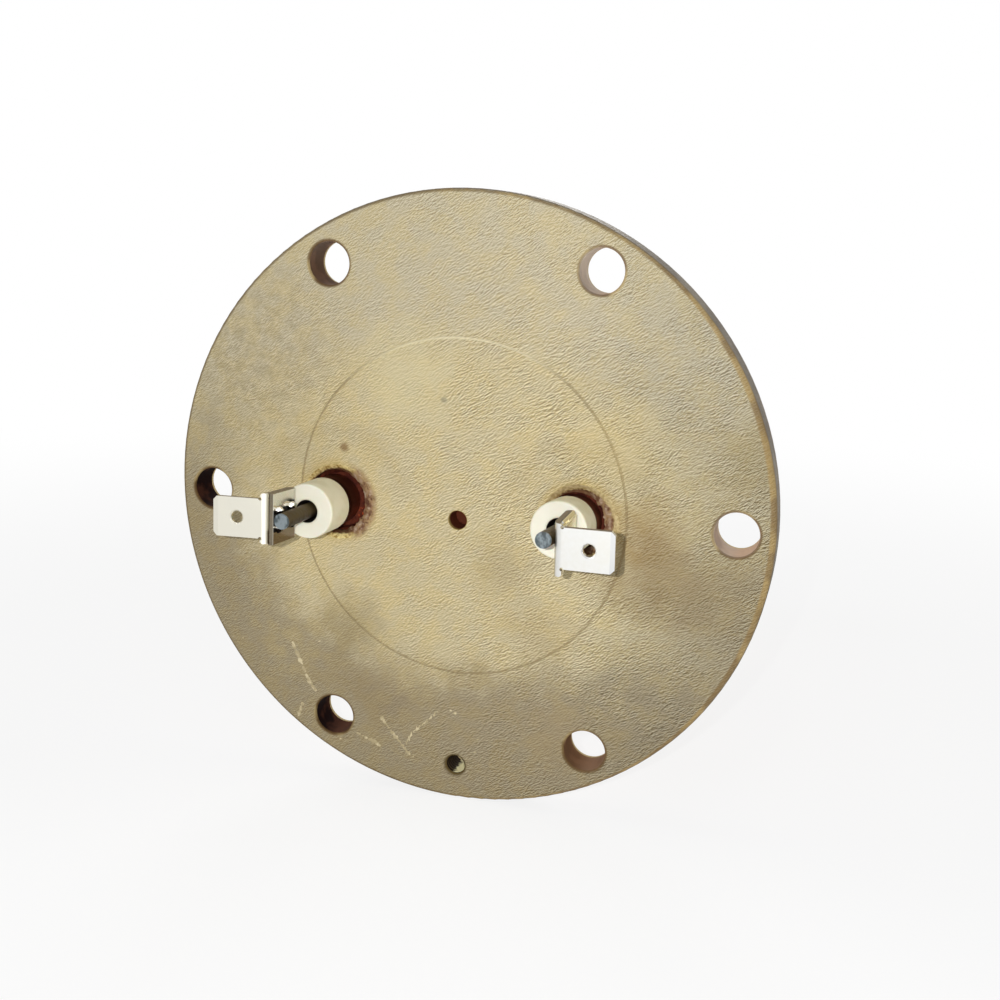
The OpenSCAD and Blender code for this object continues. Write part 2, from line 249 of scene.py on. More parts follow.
def front_skin(graph, place, cloud, ripple, flank, relief):
    """Colour of the casting's front, with the stains and blotches of the photo, darker parts, and painted shade
    and highlights on its ripples.
    """
    x, y, z = graph.split(place)
    radius = graph.vector("LENGTH", graph.join(x, 0.0, z))
    patch = graph.noise(place, 0.3, 2.0, 0.55)
    broad = graph.noise(place, 0.05, 2.0)
    speck = graph.noise(place, 3.2, 2.0, 0.6)

    skin = graph.mix(graph.step(patch, 0.36, 0.64), srgb(206, 192, 154), srgb(212, 193, 142))
    skin = graph.mix(graph.step(speck, 0.3, 0.7, 0.0, 0.35), skin, srgb(188, 172, 132))

    # Painted shade darkens the grooves and the flanks of the ripples that look down, and a painted highlight
    # lightens the flanks that look up
    groove = graph.math("MULTIPLY", graph.step(ripple, 0.24, 0.38, 0.6, 0.0), relief)
    shaded = graph.math("MULTIPLY", graph.step(flank, 0.0, 0.11, 0.0, 0.9), relief)
    lit = graph.math("MULTIPLY", graph.step(flank, -0.11, 0.0, 0.9, 0.0), relief)
    skin = graph.mix(shaded, skin, srgb(116, 99, 66))
    skin = graph.mix(lit, skin, srgb(254, 244, 208))
    skin = graph.mix(groove, skin, srgb(120, 104, 74))
    # Painted highlights: fine bright specks of sparkle over the front
    spark = graph.step(graph.noise(place, 4.0, 2.0, 0.7), 0.6, 0.72, 0.0, 0.45)
    skin = graph.mix(spark, skin, srgb(248, 240, 208))

    # A wide warm zone lies round the middle, and the casting outside it is darker, greyer at
    # the top, and darkest on the right
    zone = graph.vector("LENGTH", graph.join(graph.math("MULTIPLY", x, 0.72), 0.0, z))
    zone = graph.math("ADD", zone, graph.math("MULTIPLY", graph.math("SUBTRACT", cloud, 0.5), 14.0))
    zone = graph.math("ADD", zone, graph.math("MULTIPLY", graph.math("SUBTRACT", patch, 0.5), 9.0))
    outside = graph.step(zone, 23.0, 33.0)
    right = graph.step(graph.math("ADD", x, graph.math("MULTIPLY", cloud, 8.0)), 16.0, 44.0, 0.0, 0.9)
    skin = graph.mix(outside, skin, (0.88, 0.88, 0.9, 1.0), "MULTIPLY")
    skin = graph.mix(graph.math("MULTIPLY", outside, graph.step(z, 5.0, 30.0)), skin,
                     (1.05, 1.08, 1.18, 1.0), "MULTIPLY")
    skin = graph.mix(right, skin, (0.82, 0.83, 0.85, 1.0), "MULTIPLY")

    # The lower part, the left edge and the lower right corner are darker
    shift = graph.math("MULTIPLY", graph.math("SUBTRACT", broad, 0.5), 26.0)
    shift = graph.math("ADD", shift, graph.math("MULTIPLY", graph.math("SUBTRACT", patch, 0.5), 9.0))
    low = graph.step(graph.math("ADD", z, shift), -34.0, -20.0, 1.0, 0.0)
    slope = graph.math("ADD", graph.math("MULTIPLY", x, 0.75), graph.math("MULTIPLY", z, 0.45))
    left = graph.step(graph.math("ADD", slope, shift), -38.0, -22.0, 1.0, 0.0)
    corner = graph.math("SUBTRACT", graph.math("MULTIPLY", x, 0.85), graph.math("MULTIPLY", z, 0.5))
    corner = graph.step(graph.math("ADD", corner, shift), 30.0, 48.0)
    darkening = graph.math("MULTIPLY", graph.math("MAXIMUM", low, left), outside)
    darkening = graph.math("MAXIMUM", darkening, graph.math("MULTIPLY", corner, 0.7))
    skin = graph.mix(graph.math("MULTIPLY", darkening, 0.9), skin, (0.65, 0.63, 0.64, 1.0), "MULTIPLY")

    # The casting ridge catches the light at the top and stands dark elsewhere
    ridge = graph.step(graph.math("ABSOLUTE", graph.math("SUBTRACT", radius, 28.0)), 0.1, 0.28, 1.0, 0.0)
    upper = graph.math("SUBTRACT", z, graph.math("MULTIPLY", graph.math("ABSOLUTE", x), 0.9))
    ridge_tone = graph.mix(graph.step(upper, 2.0, 20.0), srgb(150, 132, 96), srgb(244, 234, 200))
    broken = graph.step(speck, 0.3, 0.6, 0.3, 0.7)
    skin = graph.mix(graph.math("MULTIPLY", ridge, broken), skin, ridge_tone)

    # Blotches of tarnish lie at the upper left
    mottle = graph.noise(place, 0.5, 3.0, 0.7)
    region = spot(graph, place, Vector((-36.0, FRONT_Y, 25.0)), 4.0, 24.0)
    blotch = graph.math("MULTIPLY", graph.step(mottle, 0.38, 0.64), region)
    skin = graph.mix(graph.math("MULTIPLY", blotch, 0.36), skin, srgb(144, 128, 96))

    # Heat has left a faint arc above each terminal
    for side in SIDES:
        from_tube = graph.vector("SUBTRACT", place, terminal_centre(side))
        _, _, above = graph.split(from_tube)
        reach = graph.math("ADD", graph.vector("LENGTH", from_tube), graph.math("MULTIPLY", cloud, 5.0))
        arc = graph.step(graph.math("ABSOLUTE", graph.math("SUBTRACT", reach, 15.0)), 0.4, 2.4, 0.12, 0.0)
        arc = graph.math("MULTIPLY", arc, graph.step(above, 0.0, 6.0))
        skin = graph.mix(arc, skin, srgb(150, 128, 86))

    # Centre, solid radius, faded radius, strength and colour of each stain; the light patch at (24, 12) is a
    # painted highlight
    stains_and_highlight = ((Vector((31.0, FRONT_Y, -2.0)), 1.0, 9.0, 0.55, srgb(150, 122, 76)),
              (Vector((24.5, FRONT_Y, -8.0)), 1.0, 7.0, 0.3, srgb(150, 126, 84)),
              (Vector((-20.0, FRONT_Y, 9.0)), 0.3, 1.1, 0.7, srgb(128, 92, 56)),
              (Vector((-2.6, FRONT_Y, 17.9)), 0.25, 0.7, 0.6, srgb(120, 112, 96)),
              (Vector((24.0, FRONT_Y, 12.0)), 2.0, 10.0, 0.25, srgb(226, 204, 146)),
              (Vector((34.0, FRONT_Y, -9.0)), 1.0, 11.0, 0.55, srgb(138, 116, 80)),
              (Vector((43.0, FRONT_Y, -9.0)), 1.0, 10.0, 0.35, srgb(140, 122, 88)),
              (Vector((47.0, FRONT_Y, 12.0)), 1.0, 9.0, 0.3, srgb(150, 134, 90)),
              (Vector((7.4, FRONT_Y, -9.0)), 1.0, 8.0, 0.4, srgb(166, 148, 108)),
              (Vector((14.0, FRONT_Y, -19.0)), 1.0, 9.0, 0.3, srgb(166, 146, 104)),
              (Vector((-19.0, FRONT_Y, -22.0)), 1.0, 9.0, 0.5, srgb(144, 128, 94)),
              (Vector((-9.0, FRONT_Y, 21.0)), 1.0, 12.0, 0.4, srgb(220, 208, 166)),
              (Vector((17.8, FRONT_Y, -38.0)), 1.0, 9.0, 0.5, srgb(168, 150, 116)),
              (Vector((-14.0, FRONT_Y, -33.0)), 2.0, 9.0, 0.3, srgb(140, 122, 92)))
    for centre, inner, outer, share, colour in stains_and_highlight:
        ragged = graph.vector("ADD", place, graph.join(
            graph.math("MULTIPLY", graph.math("SUBTRACT", patch, 0.5), outer), 0.0,
            graph.math("MULTIPLY", graph.math("SUBTRACT", cloud, 0.5), outer)))
        skin = graph.mix(graph.math("MULTIPLY", spot(graph, ragged, centre, inner, outer), share),
                         skin, colour)
    return skin


def crust_tone(graph, place, across):
    """Flecks of pink, white and brown, and the share of them, which is one on the right."""
    cloud = graph.noise(place, 0.7, 2.0, 0.6)
    fleck = graph.noise(place, 1.0, 3.0, 0.6)
    tone = graph.mix(graph.step(cloud, 0.42, 0.6), srgb(124, 90, 68), srgb(168, 138, 100))
    tone = graph.mix(graph.step(fleck, 0.5, 0.62), tone, srgb(174, 148, 124))
    tone = graph.mix(graph.step(fleck, 0.6, 0.7), tone, srgb(200, 182, 154))
    tone = graph.mix(graph.step(fleck, 0.34, 0.44, 0.8, 0.0), tone, srgb(86, 52, 40))
    around = graph.math("ADD", across, graph.math("MULTIPLY", graph.math("SUBTRACT", fleck, 0.5), 0.6))
    return tone, graph.step(around, 0.25, 0.65)


def recess_tones(graph, place, cloud, colour):
    """Yellow bevel, flecked crust and dark wall of the two recesses; the wall is dark oxide deepened by painted
    shade.
    """
    for side in SIDES:
        centre = terminal_centre(side)
        mouth = recess_radius(side)
        x, _, z = graph.split(graph.vector("SUBTRACT", place, centre))
        distance = graph.vector("LENGTH", graph.join(x, 0.0, z))
        rough = graph.math("ADD", distance, graph.math("MULTIPLY", graph.math("SUBTRACT", cloud, 0.5), 0.9))
        halo = graph.step(rough, mouth + 0.75, mouth + 2.2, 0.45, 0.0)
        colour = graph.mix(halo, colour, srgb(206, 180, 112))
        tone, share = crust_tone(graph, place, graph.math("DIVIDE", x, distance))
        reach = graph.step(rough, mouth + 0.9, mouth + 2.0, CRUST_SPREAD[side], 0.0)
        colour = graph.mix(graph.math("MULTIPLY", reach, share), colour, tone)
        bevel = graph.step(rough, mouth + 0.6, mouth + 0.8, 0.75, 0.0)
        colour = graph.mix(bevel, colour, srgb(222, 198, 122))
        # Painted shade over dark oxide darkens the wall inside the mouth, lighter towards the top
        wall = graph.step(rough, mouth + 0.1, mouth + 0.3, 1.0, 0.0)
        colour = graph.mix(wall, colour, graph.mix(graph.step(z, 1.0, 4.0), srgb(62, 28, 20),
                                                   srgb(104, 68, 50)))
    return colour


def hole_tones(graph, place, holes, colour):
    """Walls of the bolt holes and of the blind hole in the middle, their heat colours darkened by painted shade
    towards the lower left and lightened by painted reflection towards the upper right.
    """
    x, y, z = graph.split(place)
    blotch = graph.noise(place, 0.34, 2.0, 0.5)
    # Painted shade and painted reflection: walls towards the lower left are dark and walls towards the upper
    # right are pale
    side = graph.math("ADD", graph.math("MULTIPLY", x, 0.8), graph.math("MULTIPLY", z, 0.35))
    pale = graph.step(side, -30.0, 34.0)
    cool = graph.step(graph.math("ADD", graph.math("MULTIPLY", x, 0.6), graph.math("MULTIPLY", z, 0.8)),
                      10.0, 30.0)
    burnt_and_shaded = graph.mix(pale, srgb(26, 8, 6), graph.mix(cool, srgb(180, 138, 100), srgb(228, 218, 206)))
    warm = graph.mix(pale, srgb(70, 40, 28), graph.mix(cool, srgb(196, 152, 112), srgb(242, 232, 218)))
    wall_colour = graph.mix(graph.step(blotch, 0.45, 0.66), burnt_and_shaded, warm)
    facing_x, _, _ = graph.split(graph.facing)
    wall_colour = graph.mix(graph.step(facing_x, -0.3, 0.6, 0.7, 0.0), wall_colour,
                            graph.mix(pale, srgb(120, 80, 60), srgb(226, 192, 160)))
    colour = graph.mix(holes, colour, wall_colour)
    blind = graph.vector("LENGTH", graph.join(x, 0.0, graph.math("SUBTRACT", z, BLIND_Z)))
    inside = graph.step(blind, BLIND_R + 0.03, BLIND_R + 0.12, 1.0, 0.0)
    # Painted shade darkens the blind hole towards its bottom
    deep = graph.step(y, FRONT_Y + 0.3, FRONT_Y + 1.1)
    blind_colour = graph.mix(deep, srgb(186, 160, 100), srgb(98, 48, 30))
    colour = graph.mix(inside, colour, blind_colour)
    earth = graph.vector("LENGTH", graph.join(x, 0.0, graph.math("SUBTRACT", z, EARTH_Z)))
    inside = graph.step(earth, EARTH_R + 0.05, EARTH_R + 0.4, 1.0, 0.3)
    inside = graph.math("MULTIPLY", inside, graph.step(earth, EARTH_R + 0.4, EARTH_R + 0.7, 1.0, 0.0))
    return graph.mix(inside, colour, srgb(104, 86, 50))


def cast_brass():
    graph = Graph("cast_brass")
    place = graph.millimetres()
    x, y, z = graph.split(place)
    radius = graph.vector("LENGTH", graph.join(x, 0.0, z))
    warp = graph.noise(place, 0.28, 2.0)
    cloud = graph.noise(place, 0.16, 3.0, 0.6)
    strong = graph.noise(place, 0.2, 2.0)
    grain = graph.noise(place, 5.5, 2.0, 0.6)

    # The ripples are strong on the right and faint on the left
    ripple = ripple_field(graph, place, warp)
    beside = ripple_field(graph, graph.vector("ADD", place, (0.045, 0.0, -0.08)), warp)
    flank = graph.math("SUBTRACT", ripple, beside)
    relief = graph.step(graph.math("ADD", x, graph.math("MULTIPLY", z, 0.35)), -34.0, 20.0, 0.5, 1.0)
    relief = graph.math("MULTIPLY", relief, graph.step(strong, 0.3, 0.66, 0.55, 1.0))
    relief = graph.math("MULTIPLY", relief, graph.step(z, 18.0, 42.0, 1.0, 0.65))
    colour = front_skin(graph, place, cloud, ripple, flank, relief)
    colour = recess_tones(graph, place, cloud, colour)
    hole_distance = bolt_hole_distance(graph, place)
    holes = graph.step(hole_distance, BOLT_HOLE_R + 0.08, BOLT_HOLE_R + 0.3, 1.0, 0.0)
    colour = hole_tones(graph, place, holes, colour)
    brink = graph.step(hole_distance, BOLT_HOLE_R + 0.28, BOLT_HOLE_R + 0.55, 0.75, 0.0)
    brink = graph.math("MULTIPLY", brink, graph.step(y, FRONT_Y + 0.15, FRONT_Y + 0.5, 1.0, 0.0))
    brink_colour = graph.mix(graph.step(strong, 0.5, 0.68), srgb(112, 88, 54), srgb(190, 168, 118))
    colour = graph.mix(brink, colour, brink_colour)

    # Turned edge, turned land and plain cast middle of the back
    back = graph.step(y, -0.6, -0.42)
    turned = graph.mix(graph.noise(graph.join(radius, 0.0, 0.0), 9.0, 2.0), srgb(196, 176, 124),
                       srgb(220, 204, 158))
    relieved = graph.step(radius, LAND_R - 0.3, LAND_R, 1.0, 0.0)
    rough_back = graph.mix(cloud, srgb(164, 146, 108), srgb(198, 182, 144))
    colour = graph.mix(back, colour, graph.mix(relieved, turned, rough_back))
    edge = graph.step(radius, FLANGE_R - 0.3, FLANGE_R - 0.05)
    rings = graph.noise(graph.join(0.0, y, 0.0), 6.0, 2.0, 0.7)
    edge_colour = graph.mix(graph.math("MULTIPLY", rings, graph.step(cloud, 0.3, 0.7)),
                            srgb(112, 102, 88), srgb(164, 154, 136))
    colour = graph.mix(graph.math("MULTIPLY", edge, graph.step(y, -0.3, -0.1, 1.0, 0.0)),
                       colour, edge_colour)
    # The rounding between front and edge is brown, and the brown runs wider on the right
    worn = graph.math("ADD", radius, graph.step(x, 30.0, 48.0, 0.0, 0.45))
    rim = graph.step(worn, FLANGE_R - 0.75, FLANGE_R - 0.35, 0.0, 1.0)
    rim = graph.math("MULTIPLY", rim, graph.step(y, FRONT_Y + 0.25, FRONT_Y + 0.6, 0.75, 0.0))
    rim_tone = graph.mix(graph.step(strong, 0.4, 0.6), srgb(132, 106, 66), srgb(178, 150, 96))
    rim_tone = graph.mix(graph.step(x, -10.0, 10.0, 0.8, 0.0), rim_tone, srgb(98, 80, 48))
    colour = graph.mix(rim, colour, rim_tone)

    # Relief
    front = graph.step(y, FRONT_Y + 0.05, FRONT_Y + 0.25, 1.0, 0.0)
    height = graph.math("MULTIPLY", graph.step(ripple, 0.28, 0.72), graph.math("MULTIPLY", relief, front))
    lumps = graph.math("MULTIPLY", graph.noise(place, 0.9, 2.0), 0.3)
    height = graph.math("ADD", height, graph.math("MULTIPLY", lumps, graph.step(back, 0.0, 1.0, 1.0, 0.3)))
    height = graph.math("ADD", height, graph.math("MULTIPLY", grain, 0.1))
    turning = graph.math("SINE", graph.math("MULTIPLY", radius, 2 * math.pi / 0.35))
    land = graph.math("MULTIPLY", back, graph.step(radius, LAND_R, LAND_R + 0.3, 0.0, 0.18))
    height = graph.math("ADD", height, graph.math("MULTIPLY", turning, land))
    normal = graph.bump(height, 0.1)
    roughness = graph.math("MAXIMUM", graph.step(ripple, 0.3, 0.7, 0.66, 0.5), holes)
    metallic = graph.step(holes, 0.0, 1.0, 0.12, 0.0)
    return graph.finish(colour, roughness, normal, metallic, Specular_IOR_Level=0.12)


def red_glint(graph, place, colour):
    """Painted red glints on the filler at the lower right of the left tube."""
    centre = terminal_centre("left") + Vector((4.0, 0.0, -2.4))
    x, _, z = graph.split(graph.vector("SUBTRACT", place, centre))
    reach = graph.vector("LENGTH", graph.join(x, 0.0, z))
    broken = graph.step(graph.noise(place, 2.2, 2.0, 0.6), 0.5, 0.6)
    gleam = graph.math("MULTIPLY", graph.step(reach, 0.5, 1.9, 0.85, 0.0), broken)
    return graph.mix(gleam, colour, srgb(190, 88, 50))


def copper_tube():
    graph = Graph("copper_tube")
    place = graph.millimetres()
    cloud = graph.noise(place, 0.07, 4.0, 0.6)
    fine = graph.noise(place, 2.2, 3.0, 0.65)
    x, y, z = graph.split(place)
    drawn = graph.noise(graph.join(graph.math("MULTIPLY", x, 3.0), graph.math("MULTIPLY", y, 0.06),
                                   graph.math("MULTIPLY", z, 3.0)), 1.0, 3.0, 0.6)
    colour = graph.mix(graph.step(cloud, 0.38, 0.66), srgb(196, 124, 82), srgb(164, 92, 58))
    colour = graph.mix(graph.math("MULTIPLY", drawn, 0.35), colour, srgb(216, 150, 106))
    heat = graph.step(graph.math("ADD", y, graph.math("MULTIPLY", cloud, 9.0)), 3.0, 15.0, 0.85, 0.0)
    colour = graph.mix(heat, colour, srgb(112, 66, 52))
    # Painted shade over dark oxide darkens the tube where it runs inside the recess
    colour = graph.mix(graph.step(y, -7.6, -6.6, 0.85, 0.0), colour, srgb(66, 27, 19))
    colour = red_glint(graph, place, colour)
    height = graph.math("ADD", graph.math("MULTIPLY", fine, 0.5), drawn)
    return graph.finish(colour, graph.step(cloud, 0.3, 0.7, 0.3, 0.46), graph.bump(height, 0.02),
                        metallic=0.9)


def filler(name, dark, light, shine, metallic):
    graph = Graph(name)
    place = graph.millimetres()
    cloud = graph.noise(place, 0.9, 3.0, 0.6)
    flow = graph.noise(place, 2.4, 2.0, 0.5, 0.4)
    colour = graph.mix(graph.step(cloud, 0.36, 0.64), dark, light)
    if name == "dark_filler":
        colour = red_glint(graph, place, colour)
    return graph.finish(colour, graph.step(flow, 0.3, 0.7, shine, shine + 0.2),
                        graph.bump(graph.math("ADD", flow, cloud), 0.12), metallic=metallic,
                        Specular_IOR_Level=0.1)


def bush_ceramic():
    graph = Graph("bush_ceramic")
    place = graph.millimetres()
    grain = graph.noise(place, 7.0, 3.0, 0.6)
    cloud = graph.noise(place, 0.4, 2.0)
    speck = graph.step(graph.noise(place, 2.6, 1.0), 0.74, 0.8)
    _, facing_y, _ = graph.split(graph.facing)
    colour = graph.mix(graph.step(cloud, 0.35, 0.7), srgb(238, 233, 208), srgb(228, 222, 192))
    colour = graph.mix(graph.math("MULTIPLY", speck, 0.35), colour, srgb(196, 176, 132))
    # Painted light: the face that looks forward is lighter than the sides
    colour = graph.mix(graph.step(facing_y, -0.95, -0.5, 0.7, 0.0), colour, srgb(248, 245, 230))
    for side in SIDES:
        low, high = box_mm("bush_" + side)
        from_middle = graph.vector("SUBTRACT", place, (low + high) / 2)
        axis = pin_axis(side)
        depth = graph.vector("DOT_PRODUCT", from_middle, axis)
        along = graph.vector("SCALE", axis)
        graph.feed(along.node.inputs["Scale"], depth)
        gap = graph.vector("LENGTH", graph.vector("SUBTRACT", from_middle, along))
        # Painted shade darkens the mouth of each bore, and the bore itself is painted near black
        colour = graph.mix(graph.step(gap, 1.95, 2.3, 0.35, 0.0), colour, srgb(206, 192, 156))
        colour = graph.mix(graph.step(gap, 1.86, 1.94, 1.0, 0.0), colour, srgb(30, 22, 18))
    return graph.finish(colour, graph.step(grain, 0.3, 0.7, 0.5, 0.66), graph.bump(grain, 0.02),
                        Subsurface_Weight=0.12, Subsurface_Scale=0.0015, Specular_IOR_Level=0.35)


def terminal_steel():
    graph = Graph("terminal_steel")
    place = graph.millimetres()
    _, y, _ = graph.split(place)
    _, _, up = graph.split(graph.facing)
    cloud = graph.noise(place, 1.1, 3.0, 0.6)
    shear = graph.noise(graph.vector("MULTIPLY", place, (0.5, 1.0, 0.35)), 2.0, 2.0, 0.6)
    tip = min(box_mm("pin_left")[0].y, box_mm("pin_right")[0].y)
    end = graph.step(y, tip + 0.16, tip + 0.34, 1.0, 0.0)
    side_colour = graph.mix(cloud, srgb(60, 48, 28), srgb(92, 78, 50))
    # Painted shade makes the sides of the pins that face down near black
    side_colour = graph.mix(graph.step(up, -0.5, 0.35, 0.85, 0.0), side_colour, srgb(38, 28, 22))
    end_colour = graph.mix(graph.step(shear, 0.4, 0.6), srgb(80, 89, 92), srgb(134, 144, 148))
    colour = graph.mix(end, side_colour, end_colour)
    height = graph.math("ADD", graph.math("MULTIPLY", cloud, 0.6), shear)
    return graph.finish(colour, graph.step(cloud, 0.3, 0.7, 0.42, 0.6), graph.bump(height, 0.04),
                        metallic=0.2, Specular_IOR_Level=0.2)


def plated_tab():
    graph = Graph("plated_tab")
    place = graph.millimetres()
    x, y, z = graph.split(place)
    facing_x, facing_y, facing_z = graph.split(graph.facing)
    fine = graph.noise(place, 6.0, 2.0, 0.6)
    cloud = graph.noise(place, 0.35, 3.0, 0.6)
    rolled = graph.noise(graph.vector("MULTIPLY", place, (0.5, 3.0, 6.0)), 1.0, 2.0)
    colour = graph.mix(graph.step(cloud, 0.35, 0.68), srgb(230, 230, 227), srgb(224, 223, 217))
    # The left blade is yellower than the right one
    colour = graph.mix(graph.step(x, -4.0, 4.0, 0.8, 0.0), colour, srgb(224, 220, 204))
    # Sheared edges are dull, and the front edge of the left tab's inner layer is the widest, its grey partly bare
    # sheared metal and partly painted shade
    edge = graph.step(graph.math("ABSOLUTE", facing_z), 0.75, 0.9)
    colour = graph.mix(graph.math("MULTIPLY", edge, 0.85), colour, srgb(104, 86, 54))
    pin_low, pin_high = box_mm("pin_left")
    from_layer = graph.math("ABSOLUTE", graph.math("SUBTRACT", x, pin_low.x - 0.65))
    sheared = graph.step(from_layer, 0.42, 0.5, 1.0, 0.0)
    sheared = graph.math("MULTIPLY", sheared, graph.step(facing_y, -0.8, -0.6, 1.0, 0.0))
    colour = graph.mix(sheared, colour, graph.mix(fine, srgb(96, 88, 74), srgb(142, 132, 114)))
    # Painted shade fills the ragged gap that parts the two layers of the left hem
    teeth = graph.noise(graph.join(0.0, 0.0, z), 4.0, 2.0)
    from_seam = graph.math("SUBTRACT", from_layer, graph.math("MULTIPLY", teeth, 0.3))
    seam = graph.math("MULTIPLY", graph.step(from_seam, -0.02, 0.04), graph.step(from_layer, 0.4, 0.44, 1.0, 0.0))
    seam = graph.math("MULTIPLY", seam, graph.step(facing_y, -0.5, -0.3, 1.0, 0.0))
    seam = graph.math("MULTIPLY", seam, graph.step(x, pin_low.x - 0.65, pin_low.x - 0.64, 1.0, 0.0))
    colour = graph.mix(seam, colour, srgb(44, 32, 26))
    # The hem's own front edge on the right tab stands back from the blade, in its shadow
    depth = graph.vector("DOT_PRODUCT", graph.vector("SUBTRACT", place, pin_tip("right")), pin_axis("right"))
    behind = graph.math("MULTIPLY", graph.step(depth, 1.0, 1.2), graph.step(x, 0.0, 1.0))
    behind = graph.math("MULTIPLY", behind, graph.step(facing_y, -0.8, -0.5, 1.0, 0.0))
    colour = graph.mix(behind, colour, srgb(72, 60, 42))
    # The hem's outer layer mirrors the ceramic behind it
    hem_x = box_mm("pin_right")[1].x + 1.05
    mirror = graph.math("MULTIPLY", graph.step(depth, 1.0, 1.2), graph.step(x, hem_x, hem_x + 0.1))
    colour = graph.mix(mirror, colour, srgb(222, 214, 184))
    edge = graph.math("MAXIMUM", edge, behind)
    # The thinned end of the right blade leans away from the light
    slope = graph.math("MULTIPLY", graph.step(facing_x, 0.04, 0.12), graph.step(facing_y, -0.8, -0.6, 1.0, 0.0))
    slope = graph.math("MULTIPLY", slope, graph.step(x, 0.0, 1.0))
    colour = graph.mix(graph.math("MULTIPLY", slope, 0.7), colour, srgb(196, 197, 199))
    # The plates are smoother than the blades, and the left one carries a painted reflection of shaded brass below
    # its pin
    plate = graph.step(graph.math("ABSOLUTE", facing_x), 0.7, 0.9)
    below = graph.step(z, pin_tip("left").z - 2.2, pin_tip("left").z - 1.2, 0.9, 0.15)
    reflected_brass = graph.math("MULTIPLY", below, graph.step(facing_x, 0.6, 0.9))
    colour = graph.mix(graph.math("MULTIPLY", reflected_brass, graph.step(x, 0.0, 1.0, 1.0, 0.0)), colour,
                       srgb(98, 74, 38))
    rough = graph.step(plate, 0.0, 1.0, 0.36, 0.16)
    rough = graph.math("ADD", rough, graph.math("MULTIPLY", graph.math("MAXIMUM", sheared, edge), 0.3))
    rough = graph.math("ADD", rough, graph.step(cloud, 0.3, 0.7, 0.0, 0.06))
    return graph.finish(colour, rough, graph.bump(rolled, 0.001), metallic=0.95)


def weld_metal(name, bright, dark):
    graph = Graph(name)
    place = graph.millimetres()
    cloud = graph.noise(place, 1.4, 2.0)
    _, _, up = graph.split(graph.facing)
    # Painted highlight and painted shade: the nuggets are bright on top and near black below
    shade = graph.step(graph.math("ADD", up, graph.math("MULTIPLY", cloud, 0.6)), 0.25, 0.6, 1.0, 0.0)
    colour = graph.mix(shade, bright, dark)
    return graph.finish(colour, graph.step(cloud, 0.3, 0.7, 0.08, 0.18), graph.bump(cloud, 0.08),
                        metallic=1.0)


def powder(name, pale, dark, grain_scale):
    graph = Graph(name)
    place = graph.millimetres()
    grain = graph.noise(place, grain_scale, 3.0, 0.65)
    colour = graph.mix(grain, pale, dark)
    return graph.finish(colour, 0.85, graph.bump(grain, 0.05))


def winding_wire():
    graph = Graph("winding_wire")
    place = graph.millimetres()
    drawn = graph.noise(place, 3.0, 3.0, 0.6)
    colour = graph.mix(drawn, srgb(120, 122, 126), srgb(176, 178, 182))
    return graph.finish(colour, graph.step(drawn, 0.3, 0.7, 0.3, 0.45), graph.bump(drawn, 0.01),
                        metallic=1.0)


def rim_oxide(side, dark_reach):
    """Yellow brass bevel that turns into flecked pink and brown crust away from the bush."""
    graph = Graph("rim_oxide_" + side)
    place = graph.millimetres()
    centre = terminal_centre(side)
    mouth = recess_radius(side)
    x, _, z = graph.split(graph.vector("SUBTRACT", place, centre))
    radius = graph.vector("LENGTH", graph.join(x, 0.0, z))
    cloud = graph.noise(place, 1.8, 2.0, 0.6)
    tone, share = crust_tone(graph, place, graph.math("DIVIDE", x, radius))
    brass = graph.mix(graph.step(cloud, 0.35, 0.65), srgb(176, 146, 82), srgb(240, 222, 156))
    ragged = graph.math("ADD", radius, graph.math("MULTIPLY", graph.math("SUBTRACT", cloud, 0.5), 0.6))
    # Painted shade over dark oxide darkens the lip where it drops into the recess, lighter towards the top
    dark = graph.step(ragged, mouth + dark_reach, mouth + dark_reach + 0.3, 0.92, 0.0)
    brass = graph.mix(dark, brass, graph.mix(graph.step(z, 1.0, 4.0), srgb(66, 30, 21),
                                            srgb(98, 62, 44)))
    end = mouth + CRUST_END[side]
    share = graph.math("MULTIPLY", share, graph.step(ragged, end, end + 0.5, 1.0, 0.0))
    worn = graph.mix(graph.step(cloud, 0.35, 0.65), srgb(182, 160, 112), srgb(214, 196, 148))
    brass = graph.mix(graph.step(ragged, end, end + 0.5), brass, worn)
    colour = graph.mix(share, brass, tone)
    return graph.finish(colour, graph.step(cloud, 0.3, 0.7, 0.5, 0.7), graph.bump(cloud, 0.06),
                        Specular_IOR_Level=0.2)


def thread_brass():
    """Dark thread whose lower right catches the light."""
    graph = Graph("thread_brass")
    place = graph.millimetres()
    x, y, z = graph.split(place)
    toward = graph.math("SUBTRACT", graph.math("MULTIPLY", x, 0.6),
                        graph.math("MULTIPLY", graph.math("SUBTRACT", z, EARTH_Z), 0.8))
    glint = graph.step(graph.math("ADD", toward, graph.noise(place, 1.6, 2.0)), 1.15, 1.75)
    colour = graph.mix(glint, srgb(40, 28, 16), srgb(236, 226, 178))
    return graph.finish(colour, 0.5, metallic=0.0, Specular_IOR_Level=0.1)


def bright_brass():
    graph = Graph("bright_brass")
    place = graph.millimetres()
    cloud = graph.noise(place, 0.9, 2.0)
    colour = graph.mix(graph.step(cloud, 0.45, 0.65), srgb(182, 166, 128), srgb(218, 204, 166))
    return graph.finish(colour, graph.step(cloud, 0.3, 0.7, 0.4, 0.55), graph.bump(cloud, 0.01),
                        metallic=0.3)


